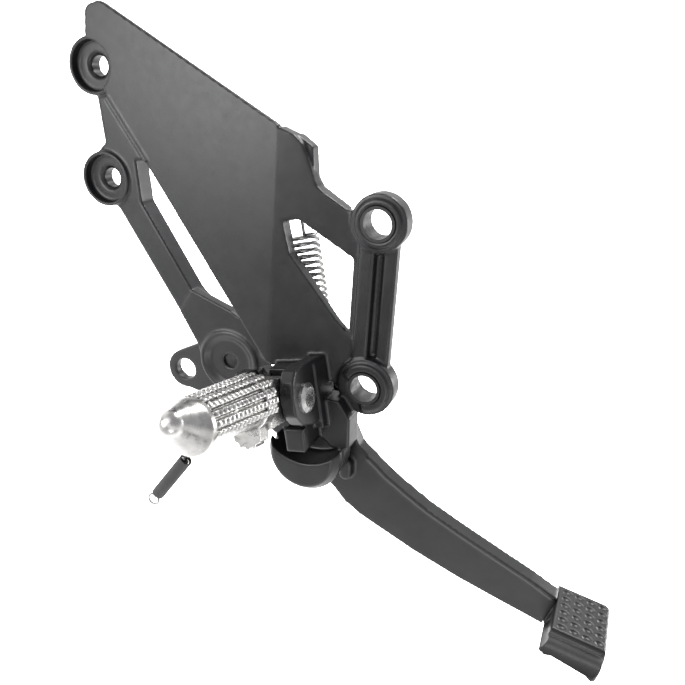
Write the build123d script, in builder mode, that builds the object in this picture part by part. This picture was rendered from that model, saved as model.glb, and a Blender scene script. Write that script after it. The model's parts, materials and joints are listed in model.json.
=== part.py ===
from build123d import *
import os
from math import cos, radians, sin, tan

# Right-hand rider's footrest bracket of a motorcycle, with its folding foot peg and brake pedal.
# Millimetres. +X points forward on the motorcycle, +Y inboard (to its left) and +Z up.
# The origin is on the axis of the upper frame bolt, in the plane of the heel guard's outer face.

os.makedirs("parts", exist_ok=True)

# ---- driving dimensions -------------------------------------------------------------------------
frame_bolt_1 = (0.0, 0.0)            # X, Z of the upper frame bolt
frame_bolt_2 = (42.0, -61.5)         # lower frame bolt
cylinder_bolt_1 = (-145.2, -36.8)    # master cylinder bolts, 50 apart
cylinder_bolt_2 = (-113.6, -75.5)
pedal_pivot = (-14.0, -103.5)
rod_hole = (-30.4, -130.0)           # clevis hole of the pedal's rear lever
cup_centre = (42.6, -103.0)           # round boss below the peg
cup_r, cup_saddle = 18.0, (30.8, -86.7)
frame_boss_r = (12.5, 13.5)          # upper and lower frame boss
cylinder_boss_r = 12.7
frame_front, frame_back = 1.8, 10.5  # Y of the frame bosses' faces
spacer_back = 15.0                   # Y of the spigots that stand against the frame
cylinder_front, cylinder_back = 2.0, 14.0
guard_t = 3.5                        # heel guard thickness
web_back = 8.0                       # Y of the web's inboard face
facet_tilt = 6.0                     # degrees that the web leans inboard from the guard's fold
ridge_top, ridge_foot = (-58.0, 2.0), (2.0, -87.0)

peg_pivot = Vector(16.0, -21.0, -82.6)
pin_angle = 46.0                     # pivot pin's slope, forward and up
peg_tilt = 11.0                      # peg's rise above square to the bracket
peg_offset = 2.0                     # peg body's axis above the pin
ear_t, slot_half = 6.5, 8.0          # clevis ears, half the slot between them
clevis_wall = 12.0                   # from the pin back to the clevis's wall, the peg's stop
pin_r, pin_head_r = 4.0, 6.6
running = 0.05                       # radial clearance of the running fits
sleeve_r = 7.6

arm_front, arm_back = 10.0, 18.0     # Y of the pedal arm's faces
pad_outer, pad_inner = -10.0, 23.0   # Y of the toe pad's sides
pad_slope = 25.0
pad_corner = (173.0, -79.0)
pad_length = 26.0

spring_y = 16.0                      # Y of the return spring's axis
spring_top, spring_foot = (-34.8, -23.9), (28.1, -82.7)
spring_r, spring_wire = 6.8, 0.75
switch_eye = (-1.2, 11.75, -126.5)   # hole that the switch spring hangs from

pin_dir = Vector(cos(radians(pin_angle)), 0, sin(radians(pin_angle)))
up_dir = Vector(-sin(radians(pin_angle)), 0, cos(radians(pin_angle)))
out_dir = Vector(0, -1, 0)
peg_dir = out_dir * cos(radians(peg_tilt)) + up_dir * sin(radians(peg_tilt))
peg_up = up_dir * cos(radians(peg_tilt)) - out_dir * sin(radians(peg_tilt))


def at_y(y):
    """Sketch plane at this Y: local axes are X and Z, and it extrudes outboard, towards -Y."""
    return Plane.XZ.offset(-y)


def pin_plane(along):
    """Sketch plane square to the pivot pin: local x is inboard and local y is up."""
    return Plane(origin=peg_pivot + pin_dir * along, x_dir=(0, 1, 0), z_dir=pin_dir)


def peg_plane(along):
    """Sketch plane square to the peg: local x follows the pin, local y is the peg's top."""
    centre = peg_pivot + peg_dir * along + peg_up * peg_offset
    return Plane(origin=centre, x_dir=pin_dir, z_dir=peg_dir)


# seat and axis of the pedal's rubber stop, square to the lug that rests on it
stop_plane = Plane(origin=(36.93, 12.7, -68.44), x_dir=(0, 1, 0), z_dir=(-0.590, 0, -0.807))


def rounded(points, radius):
    """Closed face through the points with its corners rounded."""
    with BuildLine() as outline:
        FilletPolyline(*points, radius=radius, close=True)
    make_face(outline.edges())


def disc(centre, radius):
    """Round face at one X, Z place."""
    with Locations(centre):
        Circle(radius)


def pad_point(along, above):
    """X, Z of a point given along the toe pad's top face and above it."""
    slope = radians(pad_slope)
    return (pad_corner[0] + along * cos(slope) - above * sin(slope),
            pad_corner[1] + along * sin(slope) + above * cos(slope))


def save(piece, name):
    """Label the finished piece and write its STEP file."""
    piece.part.label = name
    export_step(piece.part, f"parts/{name}.step")


# ---- bracket casting: web right of the guard's fold ---------------------------------------------
web_outline = [
    ridge_top, (-51, 4), (-46, 3.4), (-42, 1.5), (-30.5, -6.3), (-26.5, -6.6), (-14, -5.5), (0, 3),
    (9, -10), (2.5, -20), (-28, -23), (-32.8, -28.5), (-22, -37.8), (12, -47.3), (28, -49.5),
    (42, -62), (34, -72), (22, -72), (11, -76), (8, -82), ridge_foot,
]
facet_slope = tan(radians(facet_tilt))
facet_plane = Plane(
    origin=(ridge_top[0], 0, ridge_top[1]),
    z_dir=(0.829 * facet_slope, -1, 0.559 * facet_slope),
)
with BuildPart() as web:
    with BuildSketch(at_y(web_back)):
        Polygon(*web_outline, align=None)
    extrude(amount=web_back + 1)
    split(bisect_by=facet_plane, keep=Keep.BOTTOM)

# ---- bracket casting: everything else ------------------------------------------------------------
guard_outline = [(-159.8, -16.7), (-154.8, -10.5), (-58.3, 2.8), (1.6, -87.5), (-129, -43), (-151, -31)]
strut_outline = [
    (-146, -38), (-136.5, -48), (-123.3, -62), (-124.3, -70), (-118, -81), (-101, -83),
    (-40, -105), (-40, -89.8), (-49, -88.6), (-93, -72.2), (-106, -58), (-97, -50), (-128, -36),
]
foot_outline = [
    (-48, -102), (-31, -109), (-22, -117), (-14, -119), (-6, -117), (0, -110), (-3, -99), (3, -88),
    (-8, -80), (-28, -82), (-49, -88.4),
]
column_angle = -55.3
column_mid = (21.2, -30.6)
hump_wall = [(-56, -0.5), (-50, 4.2), (-42, 4.6), (-33.5, -5), (-29.3, -6.8), (-14, -5.5),
             (-14, -9), (-31, -10), (-44, 1), (-54, -3.5)]
near_ear = [(24, -17), (5, -15), (-5, -11), (-10, -5), (-10.4, 4), (-9, 10), (-5, 14), (3, 14),
            (24, 11.3)]
far_ear = [(24, -17), (5, -15), (-5, -11), (-10, -5), (-10.4, 4), (-9, 10), (-5, 13), (2, 12),
           (11, 4), (24, 3)]

with BuildPart() as bracket:
    with BuildSketch(at_y(guard_t)):
        rounded(guard_outline, [4, 4, 0.5, 0.5, 3, 3])
    extrude(amount=guard_t)
    add(web.part)
    # rim behind the hump and the upper strut
    with BuildSketch(at_y(frame_back)):
        Polygon(*hump_wall, align=None)
    extrude(amount=frame_back - 4)
    # stiffening ribs on the back of the guard
    for rib in ([(-150, -14), (-60, -0.6), (-60, -3.6), (-150, -17)],
                [(-60, -1), (-1, -88), (-4, -88), (-63, -1)],
                [(-128, -40), (0, -84), (0, -81), (-128, -37)]):
        with BuildSketch(at_y(web_back)):
            Polygon(*rib, align=None)
        extrude(amount=web_back - 3)
    # strut between the master cylinder bosses and the pedal pivot boss
    with BuildSketch(at_y(14)):
        Polygon(*strut_outline, align=None)
    extrude(amount=10.2)
    with BuildSketch(at_y(9.5)):
        Polygon(*foot_outline, align=None)
    extrude(amount=6)
    # column between the two frame bolts, as strips: offset across it, width and depth
    for offset, width, depth in ((-1.5, 19, 3.5), (-9.5, 3, 6), (-4.6, 6.8, 8), (5.3, 6, 5.5)):
        with BuildSketch(at_y(frame_back)):
            with Locations(Location(column_mid, column_angle)):
                with Locations((0, offset)):
                    Rectangle(72, width)
        extrude(amount=depth)
    # frame bosses, each with a raised ring in front and a spigot behind
    for centre, radius in zip((frame_bolt_1, frame_bolt_2), frame_boss_r):
        with BuildSketch(at_y(frame_back)):
            disc(centre, radius)
        extrude(amount=frame_back - frame_front)
        with BuildSketch(at_y(frame_back)):
            disc(centre, radius - 2.2)
        extrude(amount=frame_back - 0.2)
        with BuildSketch(at_y(spacer_back)):
            disc(centre, radius - 2.5)
        extrude(amount=spacer_back - frame_back)
    with BuildSketch(at_y(cylinder_back)):
        for centre in (cylinder_bolt_1, cylinder_bolt_2):
            disc(centre, cylinder_boss_r)
    extrude(amount=cylinder_back - cylinder_front)
    with BuildSketch(at_y(9.5)):
        disc(pedal_pivot, 15.5)
    extrude(amount=7)
    # ridge along the guard's lower edge and the groove beside it
    with BuildSketch(at_y(guard_t)):
        Polygon((-131.5, -43.2), (-99.5, -53.4), (-99, -51.9), (-131, -41.7), align=None)
    extrude(amount=guard_t + 0.7)
    with BuildSketch(at_y(7)):
        Polygon((-131.8, -43.3), (-99.7, -53.6), (-100.4, -55.7), (-132.5, -45.4), align=None)
    extrude(amount=8, mode=Mode.SUBTRACT)
    # cup below the peg: two flanges with a groove between them and a rounded front
    for y, radius, depth in ((5, 17.6, 9), (-4, 15.8, 2.5), (-6.5, cup_r, 2.5)):
        with BuildSketch(at_y(y)):
            disc(cup_centre, radius)
        extrude(amount=depth)
    with BuildSketch(at_y(-9)):
        disc(cup_centre, cup_r)
    with BuildSketch(at_y(-13)):
        disc(cup_centre, cup_r - 3)
    loft()
    with BuildSketch(at_y(2)):
        disc(cup_saddle, 23)
    extrude(amount=16, mode=Mode.SUBTRACT)
    # neck between the cup, the clevis and the lower frame boss
    with BuildSketch(at_y(8)):
        Polygon((28, -80), (38, -73), (47, -76), (56, -88), (50, -94), (34, -92), align=None)
    extrude(amount=12)
    # clevis: three strips of base (start along the pin, length, height of the top), then two ears
    for start, length, top in ((-slot_half - ear_t, ear_t, 3), (-slot_half, 2 * slot_half, 8.5),
                               (slot_half, ear_t + 1, 11.3)):
        with BuildSketch(pin_plane(start)):
            with Locations(((clevis_wall + 29) / 2, (top - 20) / 2)):
                Rectangle(29 - clevis_wall, top + 20)
        extrude(amount=length)
    for start, outline in ((-slot_half - ear_t, far_ear), (slot_half, near_ear)):
        with BuildSketch(pin_plane(start)):
            rounded(outline, 0.5)
        extrude(amount=ear_t)
    # lug below the clevis
    with BuildSketch(pin_plane(1)):
        with Locations((10, -21.5)):
            Rectangle(18, 11)
    extrude(amount=9.5)
    # boss for the post that carries the return spring's upper hook
    with BuildSketch(at_y(11.5)):
        disc(spring_top, 5)
    extrude(amount=7)
    with BuildSketch(at_y(12)):
        disc(spring_top, 2.5)
    extrude(amount=6, mode=Mode.SUBTRACT)
    # counterbores and bores
    with BuildSketch(at_y(cylinder_front + 4.5)):
        for centre in (cylinder_bolt_1, cylinder_bolt_2):
            disc(centre, 11)
    extrude(amount=8, mode=Mode.SUBTRACT)
    with BuildSketch(at_y(cylinder_front + 5.5)):
        for centre in (cylinder_bolt_1, cylinder_bolt_2):
            disc(centre, 5.8)
    extrude(amount=3, mode=Mode.SUBTRACT)
    with BuildSketch(at_y(16)):
        for centre in (cylinder_bolt_1, cylinder_bolt_2):
            disc(centre, 4.5)
    extrude(amount=16, mode=Mode.SUBTRACT)
    with BuildSketch(at_y(16)):
        for centre in (frame_bolt_1, frame_bolt_2):
            disc(centre, sleeve_r)
    extrude(amount=18, mode=Mode.SUBTRACT)
    with BuildSketch(at_y(10)):
        disc(pedal_pivot, 3.6)
    extrude(amount=12, mode=Mode.SUBTRACT)
    # dished face of the pedal pivot boss
    with BuildSketch(at_y(2.5)):
        disc(pedal_pivot, 13.6)
    with BuildSketch(at_y(4.5)):
        disc(pedal_pivot, 10.5)
    loft(mode=Mode.SUBTRACT)
    # bore of the peg's pin
    with BuildSketch(pin_plane(-18)):
        Circle(pin_r)
    extrude(amount=36, mode=Mode.SUBTRACT)
    # hole for the torsion spring's leg
    with BuildSketch(Plane(origin=pin_plane(-7.2).from_local_coords((11, 5.4, 0)), z_dir=(0, 1, 0))):
        Circle(0.7)
    extrude(amount=3.6, mode=Mode.SUBTRACT)
    # seat of the pedal's rubber stop, drilled into the underside of the lower frame boss
    with BuildSketch(stop_plane):
        Circle(2)
    extrude(amount=6, mode=Mode.SUBTRACT)
save(bracket, "bracket_casting")

# ---- steel sleeves pressed into the frame bosses -------------------------------------------------
sleeve_places = {"frame_sleeve_upper": frame_bolt_1, "frame_sleeve_lower": frame_bolt_2}
for sleeve_name, centre in sleeve_places.items():
    with BuildPart() as sleeve:
        with BuildSketch(at_y(frame_back)):
            disc(centre, sleeve_r)
            with Locations(centre):
                Circle(6.25, mode=Mode.SUBTRACT)
        extrude(amount=frame_back)
    save(sleeve, sleeve_name)

# ---- pedal stop ----------------------------------------------------------------------------------
with BuildPart() as stop_pad:
    with BuildSketch(stop_plane):
        Circle(2)
    extrude(amount=7.4)
save(stop_pad, "pedal_stop_pad")

# ---- pedal pivot: shoulder bolt from the inboard side, washer, two bushes and two seals ----------
with BuildPart() as pivot_bolt:
    for y, radius, length in ((9.5, 3.6, 3.6), (19.3, 6, 9.8), (23.5, 9, 4.2)):
        with BuildSketch(at_y(y)):
            disc(pedal_pivot, radius)
        extrude(amount=length)
    with BuildSketch(at_y(23.5)):
        with Locations(pedal_pivot):
            RegularPolygon(4, 6)
    extrude(amount=3, mode=Mode.SUBTRACT)
save(pivot_bolt, "pedal_pivot_bolt")

# name: inboard face, length, outer radius and inner radius
pivot_rings = {
    "pivot_washer": (19.3, 1.0, 9.5, 6),
    "pivot_bush_outer": (14.0, 2.6, 8, 6 + running),
    "pivot_bush_inner": (16.6, 2.6, 8, 6 + running),
    "pivot_seal_outer": (11.4, 1.4, 10.4, 6 + running),
    "pivot_seal_inner": (18.0, 1.4, 10.4, 6 + running),
}
for ring_name, (y, length, outer, inner) in pivot_rings.items():
    with BuildPart() as ring:
        with BuildSketch(at_y(y)):
            disc(pedal_pivot, outer)
            with Locations(pedal_pivot):
                Circle(inner, mode=Mode.SUBTRACT)
        extrude(amount=length)
    save(ring, ring_name)

# ---- brake pedal ---------------------------------------------------------------------------------
arm_outline = [
    (-14, -91), (-4, -96.5), (8, -98.5), (22, -92.5), (30, -87.5), (44, -85), (51, -87.3),
    (59, -91.7), (78, -93), (91, -92.3), (103, -91.3), (120, -88.3), (138, -84.7), (159, -80.3),
    pad_point(0.1, 0.8), pad_point(-1.95, -15.6), (157.4, -101), (137.6, -107.7), (113.3, -114.4),
    (94, -118.5), (82.6, -120.8), (73, -121.3), (63, -119.4), (40, -119.5), (15, -121), (-2, -123),
    (-14, -116),
]
arm_lip = [(66, -92.2), (78, -93), (91, -92.3), (103, -91.3), (120, -88.3), (138, -84.7),
           (159, -80.3), (171.5, -78.6)]
# tongue on the arm's end that fills a pocket in the toe pad
tongue = [pad_point(-1, -2), pad_point(1.5, -2), pad_point(0.3, -13), pad_point(-2.5, -13)]
lug_outline = [(20, -94), (23, -79), (27, -75.6), (34, -75.8), (50, -87.5), (50, -94)]
with BuildPart() as brake_pedal:
    with BuildSketch(at_y(arm_back)):
        Polygon(*arm_outline, align=None)
        disc(pedal_pivot, 12.5)
    extrude(amount=arm_back - arm_front)
    with BuildSketch(at_y(arm_front + 5)):
        with BuildSketch(mode=Mode.PRIVATE) as lever:
            disc(pedal_pivot, 12.5)
            disc(rod_hole, 10)
            make_hull()
        add(lever.sketch)
        Polygon((-25.5, -138), (-18, -134.5), (0, -123), (-10, -105), (-22, -128), align=None)
    extrude(amount=5)
    with BuildSketch(at_y(arm_front + 3.5)):
        Polygon(*lug_outline, align=None)
        disc((switch_eye[0], switch_eye[2]), 4)
    extrude(amount=3.5)
    with BuildSketch(at_y(arm_back - 0.5)):
        Polygon(*tongue, align=None)
    extrude(amount=arm_back - arm_front - 1)
    # raised lip along the arm's top
    with BuildSketch(at_y(arm_front + 0.5)):
        Polygon(*arm_lip, *[(x, z - 1.7) for x, z in reversed(arm_lip)], align=None)
    extrude(amount=1.1)
    # hole for the return spring's lower pin
    with BuildSketch(at_y(arm_front + 4)):
        disc(spring_foot, 2.5)
    extrude(amount=5, mode=Mode.SUBTRACT)
    # boss beside the cup, cast on the arm's outboard face
    with BuildSketch(at_y(arm_front)):
        with Locations(Location((62, -104.5), -55)):
            SlotOverall(11, 6)
    extrude(amount=4.5)
    with BuildSketch(at_y(arm_back + 1)):
        disc(pedal_pivot, 8)
        disc(rod_hole, 5.5)
    extrude(amount=12, mode=Mode.SUBTRACT)
    with BuildSketch(at_y(arm_front + 4)):
        disc((switch_eye[0], switch_eye[2]), 1.8)
    extrude(amount=5, mode=Mode.SUBTRACT)
    for face_y in (arm_front + 1.4, arm_back + 1):
        with BuildSketch(at_y(face_y)):
            disc(pedal_pivot, 10.4)
        extrude(amount=2.4, mode=Mode.SUBTRACT)
save(brake_pedal, "brake_pedal")

# ---- toe pad -------------------------------------------------------------------------------------
pad_side = [pad_point(*place) for place in (
    (0, 0), (24, 0), (25.2, -6), (pad_length, -14), (25.4, -18), (23.2, -18), (20.8, -16.2),
    (4.6, -14.8), (1.7, -15.4), (-1.8, -14.4))]
top_plane = Plane(
    origin=(pad_corner[0], 0, pad_corner[1]),
    x_dir=(cos(radians(pad_slope)), 0, sin(radians(pad_slope))),
    z_dir=(-sin(radians(pad_slope)), 0, cos(radians(pad_slope))),
)
pad_plan = [(-2, pad_outer), (pad_length, pad_outer), (pad_length, 19), (22, 22), (14, pad_inner),
            (-2, pad_inner)]
with BuildPart(mode=Mode.PRIVATE) as dimple:
    with BuildSketch():
        Ellipse(3.9, 3.2)
        with Locations((0, -4)):
            Rectangle(8, 8, mode=Mode.SUBTRACT)
    revolve(axis=Axis.X)
side_plane = Plane(origin=top_plane.origin, x_dir=(0, 1, 0), z_dir=top_plane.x_dir)
with BuildPart() as toe_pad:
    with BuildSketch(at_y(pad_inner)):
        rounded(pad_side, [0.8, 1.5, 2, 2, 1, 0.8, 1, 1, 0.8, 0.4])
    extrude(amount=pad_inner - pad_outer)
    with BuildSketch(top_plane.offset(-20)):
        rounded(pad_plan, [0.5, 4, 3, 3, 4, 0.5])
    extrude(amount=30, mode=Mode.INTERSECT)
    with BuildSketch(side_plane.offset(-6)):
        rounded([(pad_outer, -20), (pad_outer, 0), (pad_inner, 0), (pad_inner, -20)], [0.5, 2, 2, 0.5])
    extrude(amount=40, mode=Mode.INTERSECT)
    # hollows in the outboard side and in the rear face
    with BuildSketch(side_plane.offset(-6)):
        with Locations((pad_outer - 6.6, -9.6)):
            Circle(9.2)
    extrude(amount=40, mode=Mode.SUBTRACT)
    with BuildSketch(at_y(arm_front - 0.3)):
        disc(pad_point(-8.2, -8.5), 9)
    extrude(amount=22, mode=Mode.SUBTRACT)
    with BuildSketch(at_y(arm_back - 0.5)):
        Polygon(*tongue, align=None)
    extrude(amount=arm_back - arm_front - 1, mode=Mode.SUBTRACT)
    # oval dimples in the top
    for column in range(4):
        for row in range(6):
            with Locations(top_plane * Location((4.2 + 5.6 * column, -6 + 4.9 * row, 2.6))):
                add(dimple.part, mode=Mode.SUBTRACT)
save(toe_pad, "toe_pad")

# ---- folding peg ---------------------------------------------------------------------------------
tread_start, tread_end, nose_along = 18.5, 66.0, 75.8
tread_r, tread_end_r, groove_depth = 12.2, 11.2, 1.9
nose_r, nose_rise = 5.0, 3.8
rib_count, rib_spacing, first_rib = 12, 20, -15   # degrees round the peg
rib_width, tooth_pitch, tooth_depth = 2.3, 3.0, 0.9


def beside_pin(along, above):
    """Point in the pin plane's own axes, given along the peg and above the pin."""
    tilt = radians(peg_tilt)
    return (-cos(tilt) * along + sin(tilt) * above, sin(tilt) * along + cos(tilt) * above)


def rib_profile():
    """Side view of one rib: along the peg from the tread's start, and out from the peg's axis."""
    length = tread_end - tread_start - 2
    points = [(0, tread_r - groove_depth - 1.5)]
    for tooth in range(int(length / tooth_pitch)):
        along = tooth * tooth_pitch
        radius = tread_r + (tread_end_r - tread_r) * along / length
        points += [(along, radius - tooth_depth), (along + 0.7, radius), (along + 2.1, radius),
                   (along + 2.8, radius - tooth_depth)]
    points += [(length, tread_end_r - tooth_depth), (length, tread_end_r - groove_depth - 1.5)]
    return points


with BuildPart() as peg:
    with BuildSketch(pin_plane(-slot_half + 0.3)):
        Circle(9)
        Polygon(beside_pin(0, 9), beside_pin(tread_start + 1, 11), beside_pin(tread_start + 1, -10),
                beside_pin(0, -9), align=None)
        Polygon((0, -5), (clevis_wall - 0.05, -4.5), (clevis_wall - 0.05, -9.2), (8, -10.5), (0, -9),
                align=None)
    extrude(amount=2 * slot_half - 0.6)
    # heel that hangs below the tread's inboard end
    with BuildSketch(peg_plane(tread_start)):
        Circle(11.4)
        with Locations((0, -9)):
            Rectangle(12.4, 12)
        with Locations((0, -12)):
            Circle(6.2)
            with PolarLocations(6.2, 5, start_angle=-150, angular_range=120, endpoint=True):
                Circle(0.9)
    extrude(amount=8)
    # core, collar and nose
    with BuildSketch(peg_plane(tread_start)):
        Circle(tread_r - groove_depth)
    with BuildSketch(peg_plane(tread_end)):
        Circle(tread_end_r - groove_depth)
    loft()
    with BuildSketch(peg_plane(tread_end - 2)):
        Circle(tread_end_r - 0.4)
    extrude(amount=2.5)
    with BuildSketch(peg_plane(tread_end + 0.5)):
        Circle(tread_end_r - 0.4)
    with BuildSketch(peg_plane(nose_along)):
        with Locations((0, nose_rise)):
            Circle(nose_r)
    loft()
    with Locations(peg_pivot + peg_dir * nose_along + peg_up * (peg_offset + nose_rise)):
        Sphere(nose_r)
    # toothed ribs along the top and sides
    for rib in range(rib_count):
        angle = radians(first_rib + rib * rib_spacing)
        outward = pin_dir * cos(angle) + peg_up * sin(angle)
        rib_plane = Plane(origin=peg_plane(tread_start).origin, x_dir=peg_dir,
                          z_dir=peg_dir.cross(outward))
        with BuildSketch(rib_plane):
            Polygon(*rib_profile(), align=None)
        extrude(amount=rib_width / 2, both=True)
    # bore for the pin and pocket for the torsion spring
    with BuildSketch(pin_plane(-slot_half)):
        Circle(pin_r + running)
    extrude(amount=2 * slot_half, mode=Mode.SUBTRACT)
    with BuildSketch(pin_plane(-slot_half)):
        Circle(7.4)
        Polygon((-6.4, 0), (-4, 17), (12, 17), (12, 4.2), (0, 0), align=None)
        with Locations((-6, 5.4)):
            Rectangle(12, 1.5)
    extrude(amount=4.6, mode=Mode.SUBTRACT)
save(peg, "peg")

ear_outside = slot_half + ear_t
with BuildPart() as peg_pin:
    with BuildSketch(pin_plane(-ear_outside - 3)):
        Circle(pin_r)
    extrude(amount=2 * ear_outside + 3)
    with BuildSketch(pin_plane(ear_outside)):
        Circle(pin_head_r)
    extrude(amount=1.6)
    with BuildSketch(pin_plane(ear_outside + 1.6)):
        Circle(pin_head_r)
    with BuildSketch(pin_plane(ear_outside + 2.7)):
        Circle(pin_head_r - 1.8)
    loft()
    with BuildSketch(pin_plane(-ear_outside - 2)):
        Circle(5)
        Circle(3.1, mode=Mode.SUBTRACT)
    extrude(amount=1, mode=Mode.SUBTRACT)
save(peg_pin, "peg_pin")

with BuildPart() as pin_washer:
    with BuildSketch(pin_plane(-ear_outside - 1)):
        Circle(7)
        Circle(pin_r, mode=Mode.SUBTRACT)
    extrude(amount=1)
save(pin_washer, "peg_pin_washer")

with BuildPart() as pin_clip:
    with BuildSketch(pin_plane(-ear_outside - 2)):
        Circle(6)
        Circle(3.1, mode=Mode.SUBTRACT)
        with Locations((0, -5)):
            Rectangle(3.6, 6, mode=Mode.SUBTRACT)
    extrude(amount=1)
save(pin_clip, "peg_pin_clip")

# ---- springs and their posts ---------------------------------------------------------------------


def coil_wire(start, direction, length, turns, radius, wire_r):
    """Helical round wire, added to the part being built; returns the wire's two ends."""
    with BuildLine() as line:
        Helix(pitch=length / turns, height=length, radius=radius, center=start, direction=direction)
    with BuildSketch(Plane(origin=line.line @ 0, z_dir=line.line % 0)) as section:
        Circle(wire_r)
    sweep(sections=section.sketch, path=line.line, is_frenet=True)
    return line.line @ 0, line.line @ 1


def rod(start, end, wire_r):
    """Straight round wire between two points, with rounded ends."""
    with BuildSketch(Plane(origin=start, z_dir=end - start)) as section:
        Circle(wire_r)
    extrude(to_extrude=section.sketch, amount=(end - start).length)
    with Locations(start, end):
        Sphere(wire_r)


def eye(centre, axis, radius, wire_r):
    """Closed round loop of wire about an axis."""
    with Locations(Plane(origin=centre, z_dir=axis)):
        Torus(radius, wire_r)


# torsion spring round the peg's pin: one leg in the clevis base, the other in the peg's neck
leg_y, leg_base, leg_peg, torsion_length, torsion_wire = 5.4, 13.8, -11.0, 2.8, 0.6
with BuildPart() as torsion:
    coil_wire(Vector(0, 0, 0), Vector(0, 0, 1), torsion_length, 2, leg_y, torsion_wire)
with BuildPart() as peg_spring:
    add(torsion.part, rotation=(0, 0, 90))
    rod(Vector(leg_base, leg_y, 0), Vector(0, leg_y, 0), torsion_wire)
    rod(Vector(0, leg_y, torsion_length), Vector(leg_peg, leg_y, torsion_length), torsion_wire)
peg_spring.part = peg_spring.part.moved(pin_plane(-7.2).location)
save(peg_spring, "peg_spring")

# return spring behind the bracket, stretched between a post on it and a pin on the pedal's lug
top = Vector(spring_top[0], spring_y, spring_top[1])
foot = Vector(spring_foot[0], spring_y, spring_foot[1])
spring_dir = (foot - top).normalized()
coil_start, coil_end, coil_turns = 13.5, 71.5, 20
hook_r = 2.5 + spring_wire
with BuildPart() as return_spring:
    ends = coil_wire(top + spring_dir * coil_start, spring_dir, coil_end - coil_start, coil_turns,
                     spring_r - spring_wire, spring_wire)
    for end, along, centre, toward in ((ends[0], coil_start, top, 1), (ends[1], coil_end, foot, -1)):
        rod(end, top + spring_dir * along, spring_wire)
        rod(top + spring_dir * along, centre + spring_dir * (toward * hook_r), spring_wire)
        eye(centre, Vector(0, 1, 0), hook_r, spring_wire)
save(return_spring, "return_spring")

with BuildPart() as spring_post:
    for y, radius, length in ((17.0, 2.5, 11.0), (14.9, 3.6, 3.4), (18.6, 3.6, 1.6)):
        with BuildSketch(at_y(y)):
            disc(spring_top, radius)
        extrude(amount=length)
save(spring_post, "spring_post")

with BuildPart() as spring_pin:
    for y, radius, length in ((17.0, 2.5, 7.0), (14.9, 3.6, 1.4), (18.6, 3.6, 1.6)):
        with BuildSketch(at_y(y)):
            disc(spring_foot, radius)
        extrude(amount=length)
save(spring_pin, "spring_pin")

# brake light switch spring: hangs from the pedal, its coils inside a rubber sleeve
hang = Vector(switch_eye[0], switch_eye[1], switch_eye[2] - 3.7)
down = Vector(0, 0, -1)
switch_wire, switch_coil_r, switch_loop_r = 0.6, 2.4, 3.2
sleeve_top, sleeve_foot, loop_low = -175.5, -207.5, -216.8
with BuildPart() as switch_spring:
    eye(hang, Vector(1, 0, 0), switch_loop_r, switch_wire)
    coil_top = Vector(hang.X, hang.Y, sleeve_top)
    ends = coil_wire(coil_top + down * 1.2, down, sleeve_top - sleeve_foot - 2.4, 22,
                     switch_coil_r, switch_wire)
    rod(hang + down * switch_loop_r, coil_top + down * 1.2, switch_wire)
    rod(coil_top + down * 1.2, ends[0], switch_wire)
    coil_foot = Vector(hang.X, hang.Y, sleeve_foot + 1.2)
    low_eye = Vector(hang.X, hang.Y, loop_low + switch_wire + switch_loop_r)
    rod(coil_foot, ends[1], switch_wire)
    rod(coil_foot, low_eye + Vector(0, 0, switch_loop_r), switch_wire)
    eye(low_eye, Vector(0, 1, 0), switch_loop_r, switch_wire)
save(switch_spring, "switch_spring")

with BuildPart() as switch_sleeve:
    with BuildSketch(Plane(origin=(hang.X, hang.Y, sleeve_top), z_dir=down)):
        Circle(3.6)
        Circle(switch_coil_r + switch_wire, mode=Mode.SUBTRACT)
    extrude(amount=sleeve_top - sleeve_foot)
save(switch_sleeve, "switch_spring_sleeve")
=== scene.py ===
import json

import bpy
from mathutils import Matrix, Vector


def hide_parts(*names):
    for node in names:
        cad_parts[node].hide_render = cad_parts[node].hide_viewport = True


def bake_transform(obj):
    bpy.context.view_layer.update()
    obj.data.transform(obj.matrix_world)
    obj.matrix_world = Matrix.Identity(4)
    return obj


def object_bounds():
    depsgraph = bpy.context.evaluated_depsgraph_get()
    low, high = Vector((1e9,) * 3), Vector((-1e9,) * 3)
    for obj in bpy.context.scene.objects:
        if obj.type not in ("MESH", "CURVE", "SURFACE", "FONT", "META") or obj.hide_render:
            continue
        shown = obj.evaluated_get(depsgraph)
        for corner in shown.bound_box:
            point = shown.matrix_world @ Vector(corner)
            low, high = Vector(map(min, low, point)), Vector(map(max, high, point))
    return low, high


# Motorcycle footrest assembly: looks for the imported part. Metres, in the part's own frame:
# +X forward, +Y inboard, +Z up.

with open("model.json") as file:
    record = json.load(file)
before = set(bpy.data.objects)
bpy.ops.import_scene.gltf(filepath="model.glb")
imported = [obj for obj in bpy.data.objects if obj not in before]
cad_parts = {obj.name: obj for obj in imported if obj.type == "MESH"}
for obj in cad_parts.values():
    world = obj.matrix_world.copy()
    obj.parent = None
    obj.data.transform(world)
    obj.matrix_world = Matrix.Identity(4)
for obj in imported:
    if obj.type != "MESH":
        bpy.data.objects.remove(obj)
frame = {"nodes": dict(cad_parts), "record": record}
cad_box = [list(corner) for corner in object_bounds()]
nodes = frame["nodes"]
record = frame["record"]

# ---- camera ---------------------------------------------------------------------------------------
CAMERA_LENS = 39.84
CAMERA_PLACE = (0.04033, -0.29251, 0.1098)
CAMERA_RIGHT = (0.729, 0.366, 0.578)
CAMERA_FORWARD = (-0.057, 0.875, -0.482)

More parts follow.
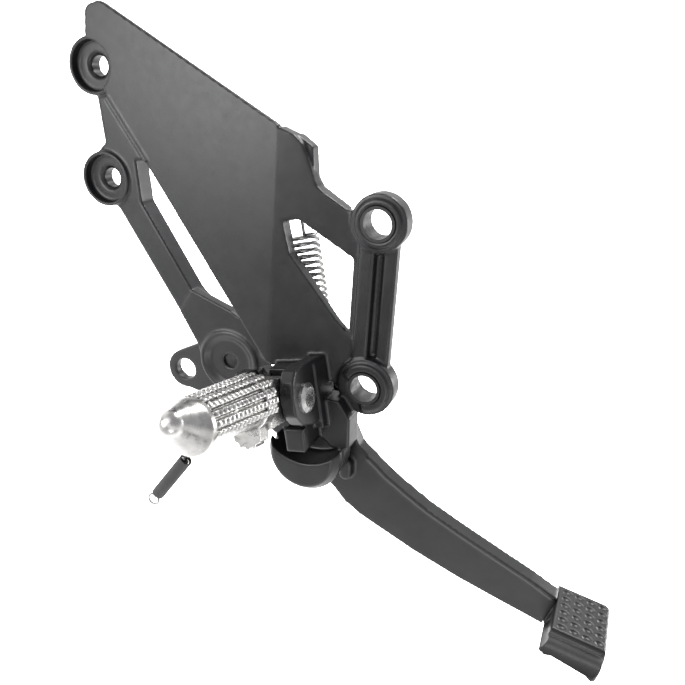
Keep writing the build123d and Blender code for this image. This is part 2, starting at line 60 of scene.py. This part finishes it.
camera_data = bpy.data.cameras.new("camera")
camera_data.sensor_width = 36.0
camera_data.lens = CAMERA_LENS
camera_data.clip_start = 0.01
camera_data.clip_end = 20.0
camera = bpy.data.objects.new("camera", camera_data)
bpy.context.scene.collection.objects.link(camera)
right = Vector(CAMERA_RIGHT).normalized()
forward = Vector(CAMERA_FORWARD)
forward = (forward - right * forward.dot(right)).normalized()
up = right.cross(forward)
turn = Matrix((right, up, -forward)).transposed().to_4x4()
camera.matrix_world = Matrix.Translation(CAMERA_PLACE) @ turn
bpy.context.scene.camera = camera
bpy.context.scene.view_settings.view_transform = "Standard"

# ---- lights and world -----------------------------------------------------------------------------
MIDDLE = Vector((0.02, 0.0, -0.09))


def area_light(name, position, target, size, energy):
    """Soft square light aimed at a point: size in metres, energy in watts."""
    data = bpy.data.lights.new(name, "AREA")
    data.shape = "SQUARE"
    data.size = size
    data.energy = energy
    light = bpy.data.objects.new(name, data)
    bpy.context.scene.collection.objects.link(light)
    light.location = position
    aim = Vector(target) - Vector(position)
    light.rotation_euler = aim.to_track_quat("-Z", "Y").to_euler()


def from_camera(across, above, towards):
    """Point placed relative to the object's middle along the camera's own axes."""
    return MIDDLE + right * across + up * above - forward * towards


area_light("key", from_camera(0.5, 0.9, -0.1), MIDDLE, 0.35, 7)
area_light("rim", from_camera(0.8, 0.1, -0.3), MIDDLE, 0.3, 3)
area_light("front", from_camera(-0.35, 0.35, 0.8), MIDDLE, 0.5, 1.5)
# two low panels that the guard's rear end and the toe end of the arm reflect
area_light("guard_panel", (-0.32, -0.50, -0.14), (-0.15, 0, -0.02), 0.3, 2.2)
area_light("toe_panel", (0.30, -0.42, -0.24), (0.15, 0, -0.09), 0.2, 0.7)

# white from straight below to a little above the horizon, darker overhead
SKY_STOPS = [(0.25, (1.3, 1.3, 1.3)), (0.6, (0.45, 0.45, 0.47))]

world = bpy.data.worlds.new("studio")
bpy.context.scene.world = world
world.use_nodes = True
world_tree = world.node_tree
background = world_tree.nodes["Background"]
background.inputs["Strength"].default_value = 1.0
direction = world_tree.nodes.new("ShaderNodeTexCoord").outputs["Generated"]
split = world_tree.nodes.new("ShaderNodeSeparateXYZ")
sky = world_tree.nodes.new("ShaderNodeValToRGB")
for element, (position, colour) in zip(sky.color_ramp.elements, SKY_STOPS):
    element.position = position
    element.color = (*colour, 1)
world_tree.links.new(direction, split.inputs["Vector"])
world_tree.links.new(split.outputs["Z"], sky.inputs["Fac"])
world_tree.links.new(sky.outputs["Color"], background.inputs["Color"])

# ---- materials ------------------------------------------------------------------------------------


class Surface:
    """A node material built around one Principled shader."""

    def __init__(self, name, colour, roughness, metallic=0.0):
        self.material = bpy.data.materials.new(name)
        self.material.use_nodes = True
        self.tree = self.material.node_tree
        self.shader = self.tree.nodes["Principled BSDF"]
        self.shader.inputs["Base Color"].default_value = (*colour, 1)
        self.shader.inputs["Roughness"].default_value = roughness
        self.shader.inputs["Metallic"].default_value = metallic
        self.place = self.tree.nodes.new("ShaderNodeTexCoord").outputs["Object"]

    def noise(self, scale, detail=3.0):
        """Noise value that depends on the place on the object."""
        node = self.tree.nodes.new("ShaderNodeTexNoise")
        node.inputs["Scale"].default_value = scale
        node.inputs["Detail"].default_value = detail
        self.tree.links.new(self.place, node.inputs["Vector"])
        return node.outputs["Fac"]

    def component(self, vector, axis):
        """One component, X, Y or Z, of a vector."""
        node = self.tree.nodes.new("ShaderNodeSeparateXYZ")
        self.tree.links.new(vector, node.inputs["Vector"])
        return node.outputs[axis]

    def ramp(self, value, stops):
        """Colour ramp over a value: stops are (position, grey or colour)."""
        node = self.tree.nodes.new("ShaderNodeValToRGB")
        ramp = node.color_ramp
        while len(ramp.elements) < len(stops):
            ramp.elements.new(0.5)
        for element, (position, colour) in zip(ramp.elements, stops):
            if not isinstance(colour, tuple):
                colour = (colour, colour, colour)
            element.position = position
            element.color = (*colour, 1)
        self.tree.links.new(value, node.inputs["Fac"])
        return node.outputs["Color"]

    def link(self, value, socket):
        """Drive one of the shader's inputs with a value."""
        self.tree.links.new(value, self.shader.inputs[socket])

    def uneven(self, socket, scale, low, high, detail=3):
        """Let noise move one of the shader's inputs between two greys or colours."""
        self.link(self.ramp(self.noise(scale, detail), [(0.3, low), (0.7, high)]), socket)

    def bump(self, scale, distance, strength):
        """Fine noise bump; distance in metres."""
        node = self.tree.nodes.new("ShaderNodeBump")
        node.inputs["Distance"].default_value = distance
        node.inputs["Strength"].default_value = strength
        self.tree.links.new(self.noise(scale, 2), node.inputs["Height"])
        self.tree.links.new(node.outputs["Normal"], self.shader.inputs["Normal"])


TONE_SCALE = 180
GLOSS_SCALE = 420
GRAIN_SCALE = 1200
GRAIN_DEPTH = 0.00004
GRAIN_STRENGTH = 0.6


def painted(name, dark, light, roughness):
    """Black satin paint over a casting: fine orange peel and slight wear in the colour."""
    surface = Surface(name, dark, roughness)
    surface.link(surface.ramp(surface.noise(90, 4), [(0.3, dark), (0.75, light)]), "Base Color")
    surface.uneven("Roughness", 260, roughness - 0.02, roughness + 0.04)
    surface.bump(1500, 0.00006, 0.5)
    return surface.material


def metal(name, dark, light, roughness):
    """Bare metal with uneven tone and a fine surface grain."""
    surface = Surface(name, light, roughness, 1.0)
    surface.uneven("Base Color", TONE_SCALE, dark, light, 4)
    surface.uneven("Roughness", GLOSS_SCALE, roughness - 0.07, roughness + 0.1)
    surface.bump(GRAIN_SCALE, GRAIN_DEPTH, GRAIN_STRENGTH)
    return surface.material


def sleeve_finish(name):
    """Steel sleeve whose flat ends were painted with the casting; its unpainted bore is darkened as
    painted shade inside the hole.
    """
    surface = Surface(name, (0.3, 0.3, 0.3), 0.4, 1.0)
    normal = surface.tree.nodes.new("ShaderNodeNewGeometry").outputs["True Normal"]
    size = surface.tree.nodes.new("ShaderNodeMath")
    size.operation = "ABSOLUTE"
    surface.tree.links.new(surface.component(normal, "Y"), size.inputs[0])
    end_face = size.outputs["Value"]
    # the unpainted bore steel is kept very dark: painted shade for the inside of the hole
    shaded_bore, paint = (0.09, 0.09, 0.09), (0.012, 0.012, 0.013)
    surface.link(surface.ramp(end_face, [(0.5, shaded_bore), (0.6, paint)]), "Base Color")
    surface.link(surface.ramp(end_face, [(0.5, 1.0), (0.6, 0.0)]), "Metallic")
    surface.uneven("Roughness", 500, 0.35, 0.55)
    surface.bump(GRAIN_SCALE, GRAIN_DEPTH, GRAIN_STRENGTH)
    return surface.material


def cast_aluminium(name):
    """Uncoated aluminium with painted shade in the grooves between the teeth and brighter tooth tops
    from wear.
    """
    surface = Surface(name, (0.5, 0.5, 0.5), 0.3, 1.0)
    pointed = surface.tree.nodes.new("ShaderNodeNewGeometry").outputs["Pointiness"]
    # pointiness darkens the grooves between the teeth as painted shade; the tooth tops stay bright
    # as wear
    groove_shade_and_wear = surface.ramp(pointed, [(0.46, 0.22), (0.5, 0.62), (0.54, 0.95)])
    grey_stops = [(0.3, (0.62, 0.61, 0.59)), (0.7, (0.86, 0.85, 0.83))]
    tone = surface.ramp(surface.noise(TONE_SCALE, 4), grey_stops)
    mix = surface.tree.nodes.new("ShaderNodeMix")
    mix.data_type = "RGBA"
    mix.blend_type = "MULTIPLY"
    mix.inputs["Factor"].default_value = 1.0
    # sockets 6 and 7 are the node's two colours, and output 2 is its colour result
    surface.tree.links.new(groove_shade_and_wear, mix.inputs[6])
    surface.tree.links.new(tone, mix.inputs[7])
    surface.link(mix.outputs[2], "Base Color")
    surface.uneven("Roughness", GLOSS_SCALE, 0.22, 0.4)
    surface.bump(GRAIN_SCALE, GRAIN_DEPTH, GRAIN_STRENGTH)
    return surface.material


zinc = metal("zinc", (0.1, 0.1, 0.1), (0.34, 0.34, 0.33), 0.28)
by_slot = {
    "casting": painted("casting_paint", (0.006, 0.006, 0.007), (0.013, 0.013, 0.014), 0.35),
    "pedal": painted("pedal_paint", (0.006, 0.006, 0.006), (0.012, 0.012, 0.013), 0.36),
    "peg": cast_aluminium("peg_metal"),
    "pin": metal("pin_metal", (0.45, 0.45, 0.44), (0.8, 0.8, 0.79), 0.25),
    "plated": zinc,
    "blackened": metal("blackened", (0.03, 0.03, 0.03), (0.07, 0.07, 0.07), 0.35),
    "spring": zinc,
    "sleeve": sleeve_finish("sleeve_metal"),
    "bush": metal("bronze", (0.35, 0.24, 0.12), (0.5, 0.36, 0.18), 0.4),
    "rubber": painted("rubber", (0.012, 0.012, 0.012), (0.025, 0.025, 0.025), 0.6),
}
for part in record["subparts"]:
    mesh = nodes[part["node"]].data
    mesh.materials.clear()
    mesh.materials.append(by_slot[part["material_slot"]])

# ---- soft edges of the cast and forged pieces -----------------------------------------------------
WELD_DISTANCE = 0.00002


def soften(node, voxel, passes):
    """Round a CAD node's edges: weld its faces, remesh them at this voxel size and smooth."""
    piece = nodes[node]
    weld = piece.modifiers.new("weld", "WELD")
    weld.merge_threshold = WELD_DISTANCE
    remesh = piece.modifiers.new("remesh", "REMESH")
    remesh.mode = "VOXEL"
    remesh.voxel_size = voxel
    remesh.use_smooth_shade = True
    smooth = piece.modifiers.new("smooth", "SMOOTH")
    smooth.factor = 0.5
    smooth.iterations = passes


soften("bracket_casting", 0.0006, 4)
soften("brake_pedal", 0.0006, 4)
soften("toe_pad", 0.00025, 4)
soften("peg", 0.0004, 2)


def bending_copy(node):
    """Copy of a CAD spring, shown instead of the CAD one."""
    source = nodes[node]
    copy = bpy.data.objects.new(node + "_bending", source.data.copy())
    bpy.context.scene.collection.objects.link(copy)
    copy.matrix_world = source.matrix_world.copy()
    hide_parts(node)
    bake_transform(copy)


bending_copy("return_spring")
bending_copy("peg_spring")

# ---- floor ----------------------------------------------------------------------------------------
FLOOR_SIZE = 12
FLOOR_HEIGHT = cad_box[0][2] - 0.05
FLOOR_GLOW = 0.95
CARD_LIFT = 0.001
# the card goes from grey to white between these two places along Y
CARD_GREY, CARD_WHITE = -0.45, -0.12


def staged_plane(name, height, surface):
    """Horizontal glowing plane at a height, kept out of the part."""
    surface.shader.inputs["Emission Strength"].default_value = FLOOR_GLOW
    bpy.ops.mesh.primitive_plane_add(size=FLOOR_SIZE, location=(0, 0, height))
    plane = bpy.context.object
    plane.name = name
    plane.data.materials.append(surface.material)
    return plane


floor_surface = Surface("floor", (0.95, 0.95, 0.95), 0.9)
floor_surface.shader.inputs["Emission Color"].default_value = (0.95, 0.95, 0.95, 1)
staged_plane("floor", FLOOR_HEIGHT, floor_surface)

# a card on the floor, out of shot: it lights the part from below, white under and behind it and
# grey in front of it, which the flat black faces reflect
card_surface = Surface("card", (0.9, 0.9, 0.9), 0.9)
card_depth = card_surface.tree.nodes.new("ShaderNodeMapRange")
card_depth.inputs["From Min"].default_value = CARD_GREY
card_depth.inputs["From Max"].default_value = CARD_WHITE
card_surface.tree.links.new(card_surface.component(card_surface.place, "Y"),
                            card_depth.inputs["Value"])
shade = card_surface.ramp(card_depth.outputs["Result"], [(0.0, 0.2), (0.6, 0.24), (1.0, 0.95)])
card_surface.link(shade, "Base Color")
card_surface.link(shade, "Emission Color")
card = staged_plane("card", FLOOR_HEIGHT + CARD_LIFT, card_surface)
card.visible_camera = False
